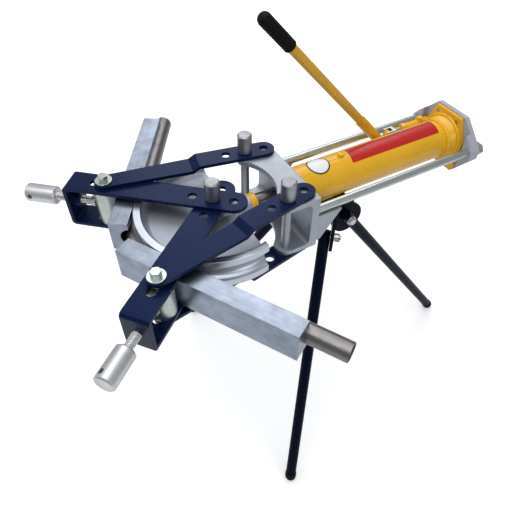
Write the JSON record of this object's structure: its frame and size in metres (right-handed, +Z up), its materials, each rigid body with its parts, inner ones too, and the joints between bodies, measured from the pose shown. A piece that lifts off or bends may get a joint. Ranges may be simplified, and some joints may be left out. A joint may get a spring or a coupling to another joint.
{
  "type": "hydraulic pipe bender",
  "caption": "Hydraulic pipe bender on folding legs: a hand pump drives a ram and grooved former between hinged wings whose rollers press bars round a tube.",
  "frame": {"origin": "on the floor, below the mid-point between the two yoke pins", "axes": "+Z up, +Y along the ram axis from the former toward the rear head, +X toward the near side (the side without the pump)"},
  "size_m": [0.8471, 1.1625, 1.138],
  "materials": {
    "yellow_paint": "gloss enamel",
    "navy_paint": "satin navy-black enamel",
    "cast_aluminium": "as cast, part machined",
    "bar_aluminium": "milled",
    "rear_casting": "grey paint on a casting",
    "black_paint": "semi-gloss black",
    "black_rubber": "moulded, matt",
    "turned_steel": "turned",
    "tube_steel": "drawn tube, bare",
    "gland_brass": "machined",
    "plated_steel": "zinc plated"
  },
  "bodies": {
    "frame": {"yoke": "cast_aluminium", "cylinder_barrel": "yellow_paint", "gland_bush": "gland_brass", "rear_flange": "yellow_paint", "flange_bolts": "plated_steel", "rear_casting": "rear_casting", "tie_rods": "plated_steel", "tie_rod_nuts": "plated_steel", "pump_barrel": "yellow_paint", "pump_gland_nut": "yellow_paint", "lever_pin": "plated_steel", "filler_plug": "yellow_paint", "leg_bracket": "black_paint", "bracket_bolts": "plated_steel", "leg_bolts": "plated_steel", "leg_wing_nuts": "plated_steel"},
    "ram": {"ram": "plated_steel", "piston": "plated_steel", "piston_seal": "black_rubber", "ram_collar": "yellow_paint", "former": "cast_aluminium", "bent_tube": "tube_steel"},
    "centre_pin": {"centre_pin": "turned_steel"},
    "near_yoke_pin": {"near_yoke_pin": "turned_steel"},
    "far_yoke_pin": {"far_yoke_pin": "turned_steel"},
    "near_wing": {"near_strap": "navy_paint", "near_wing_bolt": "plated_steel", "near_wing_nut": "plated_steel", "near_washers": "plated_steel", "near_spacers": "plated_steel"},
    "far_wing": {"far_strap": "navy_paint", "far_wing_bolt": "plated_steel", "far_wing_nut": "plated_steel", "far_washers": "plated_steel"},
    "near_roller": {"near_roller": "plated_steel"},
    "far_roller": {"far_roller": "plated_steel"},
    "near_links": {"near_top_link": "navy_paint", "near_bottom_link": "navy_paint"},
    "far_links": {"far_top_link": "navy_paint", "far_bottom_link": "navy_paint"},
    "near_bar": {"near_bar": "bar_aluminium"},
    "far_bar": {"far_bar": "bar_aluminium"},
    "near_pad": {"near_pad": "plated_steel"},
    "far_pad": {"far_pad": "plated_steel"},
    "near_adjuster": {"near_screw": "plated_steel", "near_knob": "turned_steel"},
    "far_adjuster": {"far_screw": "plated_steel", "far_knob": "turned_steel"},
    "lever": {"pump_lever": "yellow_paint", "drive_pin": "plated_steel", "handle_tube": "yellow_paint", "handle_grip": "black_rubber"},
    "plunger": {"plunger": "plated_steel"},
    "release_valve": {"release_valve": "yellow_paint"},
    "near_leg": {"near_front_leg": "black_paint", "near_foot": "black_rubber"},
    "far_leg": {"far_front_leg": "black_paint", "far_foot": "black_rubber"},
    "rear_leg": {"rear_leg": "black_paint", "rear_foot": "black_rubber"}
  },
  "joints": [
    {"name": "ram_slide", "type": "slide", "parent": "frame", "child": "ram", "axis": [0, -1, 0], "range_m": [-0.045, 0]},
    {"name": "near_wing_swing", "type": "hinge", "parent": "ram", "child": "near_wing", "pos_m": [0, -0.127, 0.748], "axis": [0, 0, 1], "range_deg": [-24.63, 0]},
    {"name": "near_link_swing", "type": "hinge", "parent": "frame", "child": "near_links", "pos_m": [0.095, 0, 0.748], "axis": [0, 0, 1], "range_deg": [-16.31, 0]},
    {"name": "near_bar_slide", "type": "slide", "parent": "near_wing", "child": "near_bar", "axis": [0.8572, 0.515, 0], "range_m": [0, 0.0734]},
    {"name": "near_roller_spin", "type": "hinge", "parent": "near_wing", "child": "near_roller", "pos_m": [0.15593, -0.31283, 0.748], "axis": [0, 0, 1], "continuous": true},
    {"name": "near_pad_slide", "type": "slide", "parent": "near_wing", "child": "near_pad", "axis": [0.6428, -0.766, 0], "range_m": [0, 0.0101]},
    {"name": "near_adjuster_turn", "type": "hinge", "parent": "near_pad", "child": "near_adjuster", "pos_m": [0.23525, -0.40736, 0.748], "axis": [0.6428, -0.766, 0], "range_deg": [0, 720]},
    {"name": "near_yoke_pin_lift", "type": "slide", "parent": "frame", "child": "near_yoke_pin", "axis": [0, 0, 1], "range_m": [0, 0.18]},
    {"name": "far_wing_swing", "type": "hinge", "parent": "ram", "child": "far_wing", "pos_m": [0, -0.127, 0.748], "axis": [0, 0, -1], "range_deg": [-24.63, 0]},
    {"name": "far_link_swing", "type": "hinge", "parent": "frame", "child": "far_links", "pos_m": [-0.095, 0, 0.748], "axis": [0, 0, -1], "range_deg": [-16.31, 0]},
    {"name": "far_bar_slide", "type": "slide", "parent": "far_wing", "child": "far_bar", "axis": [-0.8572, 0.515, 0], "range_m": [0, 0.0734]},
    {"name": "far_roller_spin", "type": "hinge", "parent": "far_wing", "child": "far_roller", "pos_m": [-0.15593, -0.31283, 0.748], "axis": [0, 0, 1], "continuous": true},
    {"name": "far_pad_slide", "type": "slide", "parent": "far_wing", "child": "far_pad", "axis": [-0.6428, -0.766, 0], "range_m": [0, 0.0101]},
    {"name": "far_adjuster_turn", "type": "hinge", "parent": "far_pad", "child": "far_adjuster", "pos_m": [-0.23525, -0.40736, 0.748], "axis": [-0.6428, -0.766, 0], "range_deg": [0, 720]},
    {"name": "far_yoke_pin_lift", "type": "slide", "parent": "frame", "child": "far_yoke_pin", "axis": [0, 0, 1], "range_m": [0, 0.18]},
    {"name": "centre_pin_lift", "type": "slide", "parent": "ram", "child": "centre_pin", "axis": [0, 0, 1], "range_m": [0, 0.13]},
    {"name": "lever_swing", "type": "hinge", "parent": "frame", "child": "lever", "pos_m": [-0.062, 0.4095, 0.72523], "axis": [-1, 0, 0], "range_deg": [0, 30]},
    {"name": "plunger_slide", "type": "slide", "parent": "frame", "child": "plunger", "axis": [0, 1, 0], "range_m": [0, 0.01883]},
    {"name": "release_valve_turn", "type": "hinge", "parent": "frame", "child": "release_valve", "pos_m": [-0.062, 0.504, 0.76], "axis": [0, 0, 1], "range_deg": [0, 180]},
    {"name": "near_leg_fold", "type": "hinge", "parent": "frame", "child": "near_leg", "pos_m": [0.0767, 0.1251, 0.638], "axis": [0.6374, 0.7705, 0], "range_deg": [0, 28]},
    {"name": "far_leg_fold", "type": "hinge", "parent": "frame", "child": "far_leg", "pos_m": [-0.0767, 0.1251, 0.638], "axis": [0.6374, -0.7705, 0], "range_deg": [0, 28]},
    {"name": "rear_leg_fold", "type": "hinge", "parent": "frame", "child": "rear_leg", "pos_m": [0.0565, 0.2069, 0.6488], "axis": [-1, 0, 0], "range_deg": [0, 36]}
  ],
  "couplings": [
    {"joint": "near_wing_swing", "follows": "ram_slide", "rad_per_m": 9.5345},
    {"joint": "near_link_swing", "follows": "ram_slide", "rad_per_m": 6.3072},
    {"joint": "near_bar_slide", "follows": "ram_slide", "ratio": -1.6209},
    {"joint": "near_pad_slide", "follows": "near_adjuster_turn", "m_per_rad": 0.00079577},
    {"joint": "far_wing_swing", "follows": "ram_slide", "rad_per_m": 9.5345},
    {"joint": "far_link_swing", "follows": "ram_slide", "rad_per_m": 6.3072},
    {"joint": "far_bar_slide", "follows": "ram_slide", "ratio": -1.6209},
    {"joint": "far_pad_slide", "follows": "far_adjuster_turn", "m_per_rad": 0.00079577},
    {"joint": "plunger_slide", "follows": "lever_swing", "m_per_rad": 0.03559}
  ]
}
